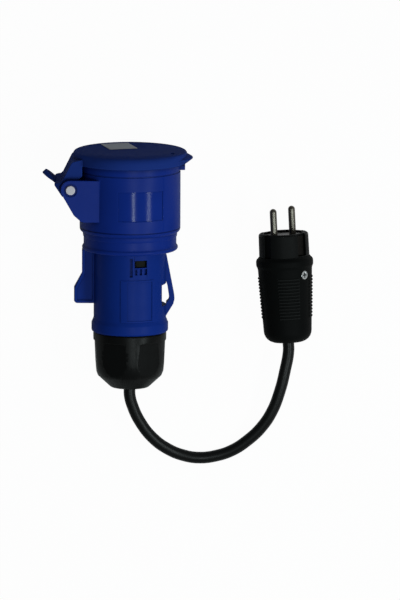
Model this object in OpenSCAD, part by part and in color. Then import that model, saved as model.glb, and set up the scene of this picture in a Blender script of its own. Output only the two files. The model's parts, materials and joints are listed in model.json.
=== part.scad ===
// Adapter lead: round three-pole industrial connector with a sprung lid, short cord, earthed two-pin plug.
// Connector and plug are each drawn upright on their own axis (+Z), then laid on the surface z = 0.

/* [Gland nut] */
// Length of the nut along the connector's axis
nut_len = 39.5; // [37:0.5:42]
// Diameter of the nut beside the handle
nut_d = 51.2; // [50:0.2:52]
// How much narrower the nut is at its lower end
nut_taper = 1; // [0.6:0.1:1.6]
// Diameter of the nut's end face
nut_face_d = 28; // [26:0.5:32]
// Length of the rounded shoulder above the nut's chamfer
nut_shoulder = 7; // [5:0.5:8]
// Depth of the flats below the round surface, at the chamfer
nut_flat_depth = 1.9; // [1.5:0.1:2.2]
// Depth of the flats below the round band, at their upper end
nut_flat_top = 1.3; // [1:0.1:1.6]
// Width of each flat
nut_flat_w = 20; // [17:0.5:21]
// Height of the plain round band above the flats
nut_band = 6; // [4:0.5:8]
// Turn of the nut about its axis, in degrees
nut_turn = 4; // [0:1:8]

/* [Handle] */
// Length of the handle between nut and collar
handle_len = 58; // [56:0.5:62]
// Diameter of the handle
handle_d = 50.6; // [50:0.2:53]
// Diameter of the flared end beside the nut
flare_d = 53.6; // [52.6:0.1:53.8]
// Height of the flare
flare_len = 10; // [8:0.5:11]
// Wall of the handle
handle_wall = 2.7; // [2:0.1:3.2]
// Diameter of the threaded neck inside the nut
neck_d = 39; // [36:0.5:41]
// Length of the threaded neck
neck_len = 17.5; // [15:0.5:19]
// Hole through the neck
neck_bore = 20; // [18:0.5:21]

/* [Side lug and hanging loop] */
// Reach of the lug from the axis
lug_reach = 39; // [37:0.5:41]
// Reach of the lug's narrow upper part from the axis
lug_top_reach = 33.5; // [31:0.5:34]
// Height of the lug's lower edge above the nut
lug_low = 20; // [16:0.5:22]
// Height of the lug's wide part
lug_wide_h = 11; // [9:0.5:14]
// Height of the slope between the lug's two parts
lug_slope_h = 10; // [8:0.5:12]
// Thickness of the lug
lug_t = 8; // [6:0.5:10]
// Width of the lug's raised rim
lug_rim = 2; // [1.5:0.1:2.6]
// Depth of the panel inside the rim
lug_panel = 1.5; // [1:0.1:2]
// Reach of the loop from the axis
loop_reach = 31.2; // [30.6:0.1:32.5]
// Thickness of the loop's strap
loop_strap = 3.8; // [3:0.1:4]
// Width of the loop's strap
loop_w = 9; // [7:0.5:11]
// Height of the loop's hole
loop_hole_h = 17; // [16:0.5:19]
// Height of the loop's hole above the nut
loop_low = 19; // [17:0.5:21]
// Flat of the handle behind the loop, from the axis
loop_flat = 22.4; // [22:0.1:22.6]

/* [Lock window] */
// Width of the window in the handle
lock_w = 8.2; // [6.5:0.1:9]
// Height of the window
lock_h = 5; // [4:0.1:6]
// Distance of the window's near edge from the handle's middle
lock_x = 3.6; // [3.4:0.1:5]
// Depth of the lock area's lower end below the collar
lock_drop = 16; // [15:0.5:17]
// Play at each side of the locking tab in its window
tab_play = 0.8; // [0.4:0.1:1.2]
// Width of each of the three ticks below the window
tick_w = 1.6; // [1:0.1:1.8]
// Height of the ticks
tick_h = 4; // [3:0.1:4.6]
// Depth of the ticks and of the release slot
tick_depth = 1.9; // [1:0.1:2.1]

/* [Raised grip frame] */
// Left edge of the frame on the handle's front
frame_left = -6.5; // [-8:0.5:-5]
// Right edge of the frame on the handle's front
frame_right = 17; // [15:0.5:18]
// Height of the frame's lower edge above the nut
frame_low = 9.5; // [9:0.5:11]
// Height of the frame
frame_h = 30; // [27:0.5:32]
// Width of the frame's plain strip on its left
frame_strip = 4.8; // [4:0.1:6]
// Width of the frame's other sides
frame_rim = 1.4; // [1:0.1:2]
// Height of the frame above the handle
frame_rise = 0.5; // [0.3:0.1:0.8]

/* [Front housing] */
// Diameter of the collar over the handle's spigot
collar_d = 64.8; // [64:0.2:66]
// Height of the bead at the collar's lower edge above the collar's wall
bead_h = 1.1; // [0.6:0.1:1.6]
// Length of the spigot inside the collar
spigot_len = 5.2; // [5:0.1:7]
// Wall of the collar
collar_wall = 3; // [2.4:0.1:3.4]
// Thickness of the ledge above the contact carrier
ledge_t = 6; // [5:0.5:7]
// Diameter of the barrel
barrel_d = 70.4; // [70:0.2:71.2]
// Wall of the barrel
barrel_wall = 3.7; // [3.2:0.1:4]
// Depth of the barrel above the ledge
barrel_depth = 46; // [44:0.5:48]
// Width of the keyway in the barrel
keyway_w = 8; // [6:0.5:10]
// Depth of the keyway in the barrel
keyway_depth = 1.8; // [1.2:0.1:2]
// Width of the sunk panel on the barrel
panel_w = 31; // [26:0.5:34]
// Height of the sunk panel on the barrel
panel_h = 20.5; // [16:0.5:24]
// Depth of the sunk panel
panel_depth = 0.4; // [0.3:0.1:1]

/* [Hinge] */
// Distance of the hinge pin from the connector's axis
hinge_x = 41.4; // [41.2:0.1:42.5]
// Depth of the hinge pin below the rim of the barrel
hinge_drop = 15.9; // [15:0.1:17]
// Diameter of the hinge pin
pin_d = 5; // [4.4:0.1:5.4]
// Diameter of the pin's heads
pin_head_d = 6.8; // [6.4:0.1:8]
// Height of the pin's heads
pin_head_h = 1.2; // [0.9:0.1:1.6]
// Diameter of the sunk ring round each head
pin_sink_d = 9.2; // [8.6:0.1:10]
// Depth of the sunk ring
pin_sink = 0.8; // [0.4:0.1:1.2]
// Distance between the outer faces of the two ears
ear_span = 56; // [54:0.5:58]
// Thickness of an ear
ear_t = 5; // [4:0.1:6]
// Radius of the ear's round end
ear_r = 6.8; // [6:0.1:7.4]
// Drop of the ear's lower edge below the pin
ear_drop = 22.6; // [20:0.2:25]
// Diameter of the lid's knuckles
knuckle_d = 11; // [10:0.1:11.4]
// Length of the space for the spring
spring_space = 12; // [11:0.5:14]
// Wire of the spring
spring_wire = 1.1; // [0.8:0.1:1.2]
// Coils of the spring
spring_turns = 6; // [4:1:7]

/* [Lid] */
// Diameter of the lid
lid_d = 79.6; // [78.4:0.2:81]
// Height of the lid's skirt
lid_h = 8.1; // [7.5:0.1:9]
// Rise of the lid's top towards its middle
lid_dome = 1; // [0.5:0.1:2]
// Wall of the lid's skirt
lid_wall = 2.4; // [2:0.1:2.8]
// Thickness of the gasket
gasket_t = 3; // [2:0.1:4]
// Reach of the front lip past the lid
lip_reach = 4; // [2.5:0.1:6]
// Distance of the lip's centre of curvature from the connector's axis
lip_centre = 18; // [14:0.5:22]
// Reach of the thumb lever behind the pin
lever_reach = 20; // [17:0.1:22]
// Height of the lever's tip above the pin
lever_rise = 8.5; // [7.5:0.1:9.5]
// Thickness of the lever
lever_t = 3.6; // [2.8:0.1:4.2]
// Width of the lever
lever_w = 20; // [18:0.5:26]
// Reach of the arm behind the pin, above the lever
arm_back = 7; // [6.6:0.1:8]
// Height of the notch between arm and lever above the pin
arm_notch = 4.5; // [4:0.1:5.2]
// Drop of the arm's inner edge below the lid
arm_skirt = 7; // [5:0.1:8]
// Thickness of the web at each side of the arm
arm_web = 4.4; // [3:0.1:6]
// Diameter of the dimple in the lid's top
dimple_d = 3; // [2:0.1:4]
// Depth of the dimple
dimple_depth = 0.6; // [0.4:0.1:1]
// Distance of the dimple from the lid's middle
dimple_r = 34; // [30:0.1:35]
// Angle of the dimple round the lid
dimple_angle = -29; // [-40:1:-20]
// Width of the label on the lid
label_w = 20; // [18:0.5:22]
// Length of the label
label_len = 25; // [22:0.5:27]
// Thickness of the label
label_t = 0.4; // [0.2:0.05:0.6]

/* [Contacts] */
// Diameter of the contact carrier
carrier_d = 51.4; // [49:0.2:52]
// Depth of the carrier's face below the rim
carrier_sink = 7; // [5:0.5:9]
// Thickness of the carrier's flange
flange_t = 4.3; // [3:0.1:5]
// Diameter of the circle of contacts
contact_circle = 27; // [25:0.5:29]
// Bore of the line and neutral contacts
live_bore = 6.1; // [5.5:0.1:6.6]
// Bore of the earth contact
earth_bore = 8.1; // [7.5:0.1:8.6]
// Depth of the contacts' bores
bore_depth = 32; // [26:0.5:36]
// Wall of a contact's sleeve
sleeve_wall = 1.2; // [1:0.1:1.5]
// Depth of the contacts' ends below the carrier's face
contact_sink = 2; // [1:0.1:3]
// Length of a contact's terminal behind the carrier
terminal_len = 15; // [12:0.5:17]

/* [Cord] */
// Diameter of the cord
cord_d = 8.2; // [7.6:0.1:8.8]
// Diameter of a core
core_d = 2.6; // [2.2:0.1:2.8]
// Length of cord inside the gland nut
cord_in_nut = 28; // [26:0.5:30]
// Length of cord inside the plug
cord_in_plug = 22; // [21.5:0.5:24]

/* [Plug] */
// Length of the plug's rubber body
body_len = 60.5; // [58:0.5:64]
// Diameter of the body above the collar bead
body_d = 38; // [36.6:0.2:38.6]
// Diameter of the body at its rounded end
body_end_d = 33.6; // [32:0.2:35]
// Radius of the rounded end
end_round = 8; // [6:0.5:9]
// Diameter of the bead that stops against the socket
bead_d = 40; // [39.2:0.2:41]
// Height of the bead
plug_bead_h = 8.5; // [7:0.5:10]
// Wall of the body
body_wall = 3.2; // [2.8:0.1:3.6]
// Number of grip ribs
rib_count = 13; // [6:1:13]
// Spacing of the grip ribs
rib_pitch = 2.3; // [1.8:0.1:2.5]
// Height of the grip ribs
rib_h = 0.6; // [0.3:0.1:0.8]
// Half the angle that each patch of ribs spans, in degrees
rib_span = 24; // [15:1:27]
// Height of the lowest rib above the body's end
rib_low = 18; // [16:0.5:19]
// Length of the plug's nose
nose_len = 16.5; // [15:0.5:19]
// Diameter of the nose
nose_d = 35.2; // [34.4:0.2:36.4]
// Depth of the dished face inside the nose's rim
face_depth = 1.2; // [0.8:0.1:2]
// Width of the nose's rim
face_rim = 2.6; // [2.2:0.1:3]
// Length of the insert's neck inside the body
insert_neck = 16.5; // [14:0.5:18]
// Width of the guide notches
notch_w = 6; // [4:0.5:7]
// Depth of the guide notches
notch_depth = 2.2; // [1.5:0.1:2.8]
// Width of the earth channels
channel_w = 8; // [7:0.5:9]
// Depth of the earth channels
channel_depth = 2.6; // [2.2:0.1:3]
// Thickness of the earth strap
strap_t = 1; // [0.8:0.1:1.2]
// Distance between the two pins
pin_pitch = 19; // [18.8:0.1:19.2]
// Diameter of a pin
plug_pin_d = 4.8; // [4.6:0.05:5]
// Length of a pin from the sunk face it leaves
plug_pin_len = 19; // [18:0.5:20]
// Diameter of a pin's root inside the nose
pin_root_d = 6; // [5.6:0.1:6.6]
// Length of a pin's terminal behind the insert
pin_tail = 8; // [6:0.5:9]
// Diameter of the body screw's head
screw_head_d = 6; // [5:0.1:6.6]
// Height of the body screw above the body's end
screw_z = 48; // [47:0.5:50]

/* [Fits] */
// Radial clearance of held pieces
slip = 0.1; // [0.05:0.05:0.2]
// Radial clearance of the lid on its pin
run = 0.06; // [0.02:0.01:0.1]
// Clearance between parts that move past each other
gap = 0.3; // [0.2:0.05:0.5]

/* [Hidden] */
$fn = 64;
far = 200;

// Levels of the connector, from the nut's end face upwards
z_nut = nut_len;
z_neck = nut_len - neck_len;
z_collar = z_nut + handle_len;
z_flange = z_collar + spigot_len;
z_ledge = z_flange + flange_t;
z_floor = z_ledge + ledge_t;
z_rim = z_floor + barrel_depth;
z_pin = z_rim - hinge_drop;
z_face = z_rim - carrier_sink;
z_contact = z_face - contact_sink;
z_terminal = z_flange - terminal_len;
z_lid_top = z_rim + lid_h;
z_lid_flat = z_lid_top + lid_dome;
z_lid_in = z_rim + gap + gasket_t;

// Radii of the connector
nut_end_r = (nut_d - nut_taper) / 2;
nut_chamfer = nut_end_r - nut_face_d / 2;
nut_side = 2.5;
nut_flat_r = nut_end_r - nut_flat_depth;
nut_slope = atan((nut_d / 2 - nut_flat_top - nut_flat_r) / (nut_len - nut_band - nut_chamfer));
nut_edge_z = nut_chamfer + nut_shoulder;
handle_r = handle_d / 2;
handle_in = handle_r - handle_wall;
collar_in = collar_d / 2 - collar_wall;
spigot_r = collar_in - gap;
barrel_in = barrel_d / 2 - barrel_wall;
lid_r = lid_d / 2;
lid_round = 2;
lid_flat_r = lid_r * 0.8;
nut_edge = 1;
bush_r = neck_d / 2 - 4;
nut_wall = bush_r + nut_side - nut_face_d / 2;
ear_in = ear_span / 2 - ear_t;
flange_r = collar_in - gap;
seal_r = 1.1;
z_seal = z_collar + spigot_len / 2;
seal_squeeze = 0.2;
z_lock = z_collar - lock_drop;
z_window = z_lock + tick_h + 2.4;
z_bush = nut_wall + (z_neck - nut_wall) * 0.55;

// Rest: the connector leans on the lid's rim and on the top of the nut's shoulder
rest_tilt = atan((lid_r - nut_end_r) / (z_rim - nut_edge_z));
lever_tip_x = hinge_x + lever_reach;
conn_x = (lever_tip_x - lid_r - lip_reach) / 2;
lid_reach_y = z_lid_flat * cos(rest_tilt) + lid_flat_r * sin(rest_tilt);
conn_y = ((nut_face_d / 2 - nut_edge) * sin(rest_tilt) - lid_reach_y) / 2;
conn_z = nut_end_r * cos(rest_tilt) - nut_edge_z * sin(rest_tilt);

// Levels and radii of the plug, from its rounded end upwards
z_bead = body_len - plug_bead_h / 2;
z_shoulder = body_len - plug_bead_h;
z_nose = body_len + nose_len;
z_insert = body_len - insert_neck;
z_tail = z_insert - pin_tail;
z_dish = z_nose - face_depth;
body_in = body_d / 2 - body_wall - rib_h;
insert_r = body_in - slip;
head_y = body_in + 1.4;
head_h = 2;
clamp_hole_r = 9;
clamp_top = cord_in_plug - 1;
nose_r = nose_d / 2;
post_y = 8;
strap_w = channel_w - 2;
strap_y = nose_r - channel_depth;
strap_z = body_len + 2;

// Place of the plug beside the connector
plug_tilt = atan((bead_d - body_end_d) / 2 / (z_bead - end_round));
plug_z = bead_d / 2 * cos(plug_tilt) - z_bead * sin(plug_tilt);
plug_at = [119.7, -53.4, plug_z];
plug_yaw = 2.8;
plug_roll = 47;

// Contacts: angle about the axis, seen from the lid, and bore
earth_angle = 0;
line_angle = 120;
neutral_angle = 240;
contact_r = contact_circle / 2;
terminal_extra = 0.6;
shoulder_extra = 1.2;
wire_hole_d = 2;
screw_d = 4;
small_d = 3;
tail_screw_z = 4;
terminal_screw_z = 5;
clamp_screw_d = 2;
clamp_screw_x = 6.4;

// Free stretch of the cord, from the nut to the plug
cord_route = [
    [11, -99, 20.6], [16.5, -110.5, 17.2], [25, -121.5, 13.4], [35.5, -129.5, 9.6], [46.5, -134.2, 6.4],
    [57.5, -136, 4.5], [69.5, -134.6, 4.3], [80.5, -130.8, 5.2], [91.9, -123.2, 7], [101.3, -114, 9],
    [108.4, -103.1, 11.2], [113.9, -88.6, 13.6], [117.5, -74, 15.4]
];

function unit(v) = v / norm(v);
function along(p, i) = unit(p[min(i + 1, len(p) - 1)] - p[max(i - 1, 0)]);
function ring(c, t, ref, r, n) =
    let (s = unit(cross(t, ref)), u = cross(s, t))
    [for (k = [0:n - 1]) c + r * (cos(360 * k / n) * s + sin(360 * k / n) * u)];
function arc(c, r, a0, a1, n) = [for (i = [0:n]) let (a = a0 + (a1 - a0) * i / n) c + r * [cos(a), sin(a)]];
function ease(s) = s * s * (3 - 2 * s);
function polar(r, a, z) = [r * cos(a), r * sin(a), z];

// Round tube swept along points; ref is any direction that the tube never runs along
module tube(points, d, sides, ref) {
    last = len(points) - 1;
    rings = [for (i = [0:last]) each ring(points[i], along(points, i), ref, d / 2, sides)];
    walls = [
        for (i = [0:last - 1])
            for (k = [0:sides - 1])
                let (n = (k + 1) % sides, a = i * sides, b = a + sides)
                each [[a + k, b + k, a + n], [a + n, b + k, b + n]]
    ];
    start = [for (k = [0:sides - 1]) k];
    end = [for (k = [sides - 1:-1:0]) last * sides + k];
    polyhedron(rings, concat([start], walls, [end]), convexity = 6);
}

module in_connector() {
    translate([conn_x, conn_y, conn_z]) rotate([rest_tilt - 90, 0, 0]) children();
}

module in_plug() {
    translate(plug_at) rotate([0, 0, plug_yaw]) rotate([plug_tilt - 90, 0, 0]) rotate(plug_roll) children();
}

// Side profile (x, z) given as a 2D child, drawn across the hinge, w wide and centred
module across(w) {
    rotate([90, 0, 0]) linear_extrude(w, center = true) children();
}

module at_pin() {
    translate([-hinge_x, 0, z_pin]) children();
}

module disc(r, z0, z1) {
    translate([0, 0, z0]) cylinder(h = z1 - z0, r = r);
}

module tube_ring(r_out, r_in, z0, z1) {
    difference() {
        disc(r_out, z0, z1);
        disc(r_in, z0 - 1, z1 + 1);
    }
}

// Box on the connector's camera side, from x0 to x1 and z0 to z1
module front_box(x0, x1, z0, z1) {
    translate([x0, -far, z0]) cube([x1 - x0, far, z1 - z0]);
}

// Curved patch of the wall between radii r0 and r1
module front_patch(r0, r1, x0, x1, z0, z1) {
    intersection() {
        tube_ring(r1, r0, z0, z1);
        front_box(x0, x1, z0, z1);
    }
}

module rounded_rect(w, h, r) {
    square([w - 2 * r, h], center = true);
    square([w, h - 2 * r], center = true);
    for (x = [-1, 1], y = [-1, 1]) translate([x * (w / 2 - r), y * (h / 2 - r)]) circle(r);
}

// Ear round the pin; it runs to the connector's axis, and the barrel's bore trims it
module ear_profile() {
    foot_x = (hinge_x - ear_in) / 2;
    circle(ear_r);
    polygon([
        [0, ear_r], [hinge_x, ear_r], [hinge_x, -ear_drop], [foot_x, -ear_drop],
        [foot_x * 0.78, -ear_drop * 0.97], [foot_x * 0.25, -ear_drop * 0.78], [-ear_r * 0.9, -ear_r * 0.44]
    ]);
}

module front_housing() {
    fillet = 3.2;
    groove_z = z_rim - 6;
    panel_x = 7.4;
    panel_z = z_floor + panel_h - 1;
    hook = [3.2, 8, 3.2];
    hook_drop = 1.9;
    color("royalblue") in_connector() difference() {
        union() {
            rotate_extrude() polygon(concat(
                [[0, z_collar]],
                arc([collar_d / 2 - bead_h * 0.6, z_collar + bead_h * 1.6], bead_h * 1.6, -90, 60, 6),
                [[collar_d / 2, z_collar + bead_h * 4], [collar_d / 2, z_floor - 2 * fillet]],
                [[collar_d / 2 + 0.4, z_floor - 1.8 * fillet]],
                arc([barrel_d / 2 - fillet, z_floor], fillet, -70, 0, 5),
                [[barrel_d / 2, z_rim - 0.6], [barrel_d / 2 - 0.6, z_rim], [0, z_rim]]
            ));
            for (s = [-1, 1])
                at_pin() translate([0, s * (ear_span - ear_t) / 2, 0]) across(ear_t) ear_profile();
            translate([barrel_d / 2 - 1, -hook.y / 2, z_rim - hook_drop - hook.z])
                cube([hook.x + 1, hook.y, hook.z]);
        }
        disc(collar_in, z_collar - 1, z_ledge);
        disc(carrier_d / 2 + gap, z_collar, z_rim);
        disc(barrel_in, z_floor, z_rim + 1);
        translate([0, -keyway_w / 2, z_floor])
            cube([barrel_in + keyway_depth, keyway_w, barrel_depth + 1]);
        tube_ring(barrel_d / 2 + 1, barrel_d / 2 - 0.5, groove_z, groove_z + 0.8);
        front_patch(barrel_d / 2 - panel_depth, barrel_d / 2 + 1, panel_x - panel_w / 2,
            panel_x + panel_w / 2, panel_z - panel_h / 2, panel_z + panel_h / 2);
        at_pin() rotate([90, 0, 0]) cylinder(h = far, d = pin_d + 2 * run, center = true);
        for (s = [0, 1]) mirror([0, s, 0]) translate([-hinge_x, -ear_span / 2 + pin_sink, z_pin])
            rotate([90, 0, 0]) cylinder(h = far, d = pin_sink_d);
    }
}

module lid() {
    half = lid_h / 2;
    arm_top = hinge_drop + lid_h - lid_round;
    arm_in = hinge_x - lid_r + lid_wall;
    arm_root = hinge_x - barrel_d / 2 - gap;
    web_in = arm_root + arm_web / 2;
    tip = [-lever_reach, lever_rise];
    heel = [-arm_back - 4.4, arm_notch - 1.5];
    past_tip = tip + (tip - heel) / 8;
    end_lean = [0.75, 0.7];
    cam = [-knuckle_d * 0.52, -knuckle_d * 0.5];
    color("royalblue") in_connector() difference() {
        union() {
            rotate_extrude() polygon(concat(
                [[0, z_rim], [lid_r - 0.4, z_rim], [lid_r, z_rim + 0.4]],
                arc([lid_r - lid_round, z_lid_top - lid_round], lid_round, 0, 90, 5),
                [[lid_flat_r, z_lid_flat], [0, z_lid_flat]]
            ));
            translate([lip_centre, 0, 0]) rotate_extrude() polygon([
                [0, z_rim], [lid_r - lip_centre, z_rim], [lid_r + lip_reach - lip_centre, z_rim + half - 1],
                [lid_r + lip_reach - lip_centre, z_rim + half - 0.4],
                [lid_r - lip_centre - 1, z_lid_top - 1.5], [0, z_lid_top - 1.5]
            ]);
            at_pin() across(2 * (ear_in - gap)) {
                circle(d = knuckle_d);
                polygon([
                    [arm_in + 9, arm_top], [hinge_x - lid_r - 0.4, arm_top - 3],
                    [hinge_x - lid_r - 1.2, arm_top - 4], [1.4 - arm_back, arm_notch + 1.4],
                    [-arm_back, arm_notch], [-arm_back - 3, arm_notch - 0.5], heel, cam,
                    [0, -knuckle_d / 4], [0, knuckle_d / 4], [arm_root, hinge_drop - arm_skirt],
                    [arm_root, hinge_drop], [arm_in + 9, hinge_drop]
                ]);
            }
            for (s = [-1, 1])
                at_pin() translate([0, s * (ear_in - gap - arm_web / 2), 0]) across(arm_web) polygon([
                    [0, knuckle_d / 4], [web_in, hinge_drop - arm_skirt],
                    [web_in, hinge_drop], [0, hinge_drop]
                ]);
            at_pin() intersection() {
                across(lever_w) polygon([
                    past_tip, past_tip + lever_t * end_lean, [-arm_back - 3, arm_notch - 0.5],
                    [-arm_back, arm_notch], [-arm_back, 0], heel
                ]);
                translate([tip.x, 0, tip.y]) rotate([0, atan2(end_lean.x, end_lean.y), 0])
                    translate([lever_w / 2, 0, -far / 2]) {
                        cylinder(h = far, d = lever_w);
                        translate([0, -far / 2, 0]) cube(far);
                    }
            }
        }
        disc(lid_r - lid_wall, z_rim - 1, z_lid_in);
        rotate(dimple_angle) translate([dimple_r, 0, z_lid_top - dimple_depth])
            cylinder(h = lid_h, d = dimple_d);
        at_pin() across(spring_space) polygon([
            [0, 0], [0, knuckle_d / 4], [arm_in - 0.3, hinge_drop - 1], [arm_root + 1, hinge_drop - 1],
            [arm_root + 1, 0]
        ]);
        at_pin() rotate([90, 0, 0]) cylinder(h = far, d = pin_d + 2 * run, center = true);
        at_pin() rotate([90, 0, 0]) cylinder(h = spring_space, d = knuckle_d + 1.4, center = true);
    }
}

module lid_gasket() {
    color("dimgray") in_connector()
        tube_ring(lid_r - lid_wall - slip, barrel_in - 1, z_rim + gap, z_lid_in);
}

module lid_label() {
    color("silver") in_connector() translate([-7.8, 10.4, z_lid_flat]) rotate(16)
        linear_extrude(label_t) rounded_rect(label_w, label_len, 1);
}

module hinge_pin() {
    color("gainsboro") in_connector() at_pin() rotate([90, 0, 0]) {
        cylinder(h = ear_span, d = pin_d, center = true);
        for (s = [0, 1]) mirror([0, 0, s]) translate([0, 0, ear_span / 2 - pin_sink])
            cylinder(h = pin_head_h, d1 = pin_head_d, d2 = pin_head_d - 0.6);
    }
}

// Torsion coil round the pin, with one leg on the barrel and one behind the lid's arm
module lid_spring() {
    coil_r = pin_d / 2 + spring_wire + 0.4;
    pitch = spring_wire * 1.3;
    steps = 14;
    leg = 11;
    wall_x = hinge_x - barrel_d / 2 - spring_wire / 2 - 0.2;
    start_y = -spring_turns * pitch / 2;
    coil = [
        for (i = [0:spring_turns * steps])
            let (a = 360 * i / steps)
            [coil_r * cos(a), start_y + pitch * i / steps, coil_r * sin(a)]
    ];
    legs_in = [[wall_x, start_y, -leg], [coil_r + 0.15, start_y, -leg / 3]];
    legs_out = [[coil_r, -start_y, leg / 3], [coil_r - 0.2, -start_y, leg * 0.9]];
    color("silver") in_connector() at_pin()
        tube(concat(legs_in, coil, legs_out), spring_wire, 8, [0, 1, 0]);
}

module lug_profile(inset) {
    low = z_nut + lug_low + inset;
    wide = lug_reach - inset;
    narrow = lug_top_reach - inset;
    corner = 1.8 - inset / 2;
    polygon([
        [0, low], [corner - wide, low], [0.3 * corner - wide, low + 0.3 * corner], [-wide, low + corner],
        [-wide, low + lug_wide_h - 1.4 * inset],
        [-narrow, low + lug_wide_h + lug_slope_h - 1.4 * inset], [-narrow, z_collar], [0, z_collar]
    ]);
}

module loop_profile() {
    top = loop_low + loop_hole_h;
    in_x = loop_reach - loop_strap;
    difference() {
        polygon([
            [0, loop_low - 12], [handle_r - 0.8, loop_low - 9], [loop_reach - 0.8, loop_low + 0.8],
            [loop_reach, loop_low + 4], [loop_reach - 0.3, loop_low + 7], [loop_reach - 3.1, top + 4],
            [handle_r + 0.2, top + 18], [0, top + 18]
        ]);
        polygon([
            [loop_flat, loop_low - 0.4], [loop_flat + 1, loop_low], [in_x - 0.7, loop_low + 3],
            [in_x, loop_low + 4.4], [in_x - 0.2, loop_low + 7.4], [in_x - 1.2, top - 3],
            [in_x - 2, top - 0.4], [in_x - 3, top], [loop_flat + 0.6, top - 2.4], [loop_flat, top - 3.2]
        ]);
    }
}

module handle() {
    frame_z = z_nut + frame_low;
    eye_h = loop_hole_h - 2;
    ring_in = spigot_r - 2 * seal_r + seal_squeeze;
    color("royalblue") in_connector() difference() {
        union() {
            rotate_extrude() polygon(concat(
                [[0, z_neck], [neck_d / 2, z_neck], [neck_d / 2, z_nut], [flare_d / 2 - 1, z_nut]],
                arc([flare_d / 2 - 1.6, z_nut + 1.6], 1.6, -90, 0, 4),
                [[flare_d / 2, z_nut + flare_len * 0.64], [flare_d / 2 - 0.5, z_nut + flare_len * 0.74]],
                [[handle_r, z_nut + flare_len]],
                [[handle_r, z_collar], [spigot_r, z_collar], [spigot_r, z_flange], [0, z_flange]]
            ));
            front_patch(handle_r - 1, handle_r + frame_rise, frame_left, frame_right,
                frame_z, frame_z + frame_h);
            across(lug_t) lug_profile(0);
            translate([0, 0, z_nut]) across(loop_w) loop_profile();
        }
        difference() {
            disc(handle_in, z_nut + handle_wall, z_flange + 1);
            translate([loop_flat - handle_wall, -far / 2, z_nut])
                cube([far, far, loop_low + loop_hole_h + handle_wall]);
        }
        disc(neck_bore / 2, z_neck - 1, z_nut + handle_wall + 1);
        intersection() {
            translate([loop_flat, -far / 2, z_nut + loop_low]) cube([far, far, eye_h]);
            disc(handle_r + 0.3, z_nut, z_collar);
        }
        for (s = [-1, 1]) translate([0, s * lug_t / 2, 0]) across(2 * lug_panel) difference() {
            lug_profile(lug_rim);
            translate([-handle_r - 0.6, 0]) square([far, far]);
        }
        front_patch(handle_r, handle_r + 1, frame_left + frame_strip, frame_right - frame_rim,
            frame_z + frame_rim, frame_z + frame_h - frame_rim);
        front_patch(handle_r - tick_depth, handle_r + 1, 0, 1.1 * tick_w, z_lock, z_window + lock_h + tick_w);
        for (x = [lock_x, lock_x + (lock_w - tick_w) / 2, lock_x + lock_w - tick_w])
            front_patch(handle_r - tick_depth, handle_r + 1, x, x + tick_w,
                z_window - 1 - tick_h, z_window - 1);
        front_patch(handle_in - 1, handle_r + 1, lock_x, lock_x + lock_w, z_window, z_window + lock_h);
        tube_ring(spigot_r + 1, ring_in, z_seal - seal_r - slip, z_seal + seal_r + slip);
    }
}

module lock_tab() {
    side = 1;
    top = z_window + lock_h;
    color("darkslategray") in_connector() {
        front_patch(handle_in - 1.6, handle_in - slip, lock_x - side, lock_x + lock_w + side,
            z_window - 2 * side, top + side);
        front_patch(handle_in - side, handle_r - tick_depth, lock_x + tab_play, lock_x + lock_w - tab_play,
            z_window + gap, top - gap);
    }
}

module gland_nut() {
    flat_h = nut_len - nut_band + 2;
    drop = nut_shoulder * 0.4;
    color("dimgray") in_connector() rotate(nut_turn) difference() {
        rotate_extrude() polygon([
            [0, 0], [nut_face_d / 2 - nut_edge, 0], [nut_face_d / 2, nut_edge * 0.6],
            [nut_end_r - drop, nut_chamfer - drop], [nut_end_r - drop * 0.4, nut_chamfer + drop * 0.5],
            [nut_end_r, nut_edge_z],
            [nut_d / 2, nut_len - 1.4 * nut_edge], [nut_d / 2 - 0.6 * nut_edge, nut_len], [0, nut_len]
        ]);
        disc(cord_d / 2 + gap, -1, nut_len);
        disc(bush_r + slip, nut_wall, nut_len);
        disc(neck_d / 2 + slip, z_neck, nut_len + 1);
        for (a = [0:60:300])
            rotate(a) translate([nut_flat_r, 0, nut_chamfer]) rotate([0, nut_slope, 0])
                translate([0, 0, flat_h / 2 - nut_chamfer - 2]) rotate([90, 0, 90])
                linear_extrude(far) rounded_rect(nut_flat_w, flat_h, nut_flat_w / 4);
    }
}

module gland_seal() {
    color("black") in_connector()
        tube_ring(bush_r, cord_d / 2 + slip, nut_wall, z_bush);
}

module cord_claw() {
    slot = 1.2;
    color("ivory") in_connector() difference() {
        tube_ring(bush_r, cord_d / 2 + slip, z_bush, z_neck);
        for (a = [0:45:135])
            rotate(a) translate([-far / 2, -slot / 2, z_bush - 1]) cube([far, slot, (z_neck - z_bush) * 0.6]);
    }
}

module housing_seal() {
    color("black") in_connector() translate([0, 0, z_seal])
        rotate_extrude() translate([spigot_r - seal_r + seal_squeeze, 0]) circle(seal_r);
}

module at_contact(angle) {
    rotate(angle) translate([contact_r, 0, 0]) children();
}

module contact_carrier() {
    color("darkgray") in_connector() difference() {
        union() {
            disc(carrier_d / 2, z_flange, z_face);
            disc(flange_r, z_flange, z_ledge);
        }
        for (c = [[earth_angle, earth_bore], [line_angle, live_bore], [neutral_angle, live_bore]])
            at_contact(c[0]) {
                disc(c[1] / 2 + sleeve_wall + slip, z_flange - 1, z_contact);
                disc(c[1] / 2 + gap, z_contact - 1, z_face + 1);
            }
    }
}

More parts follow.
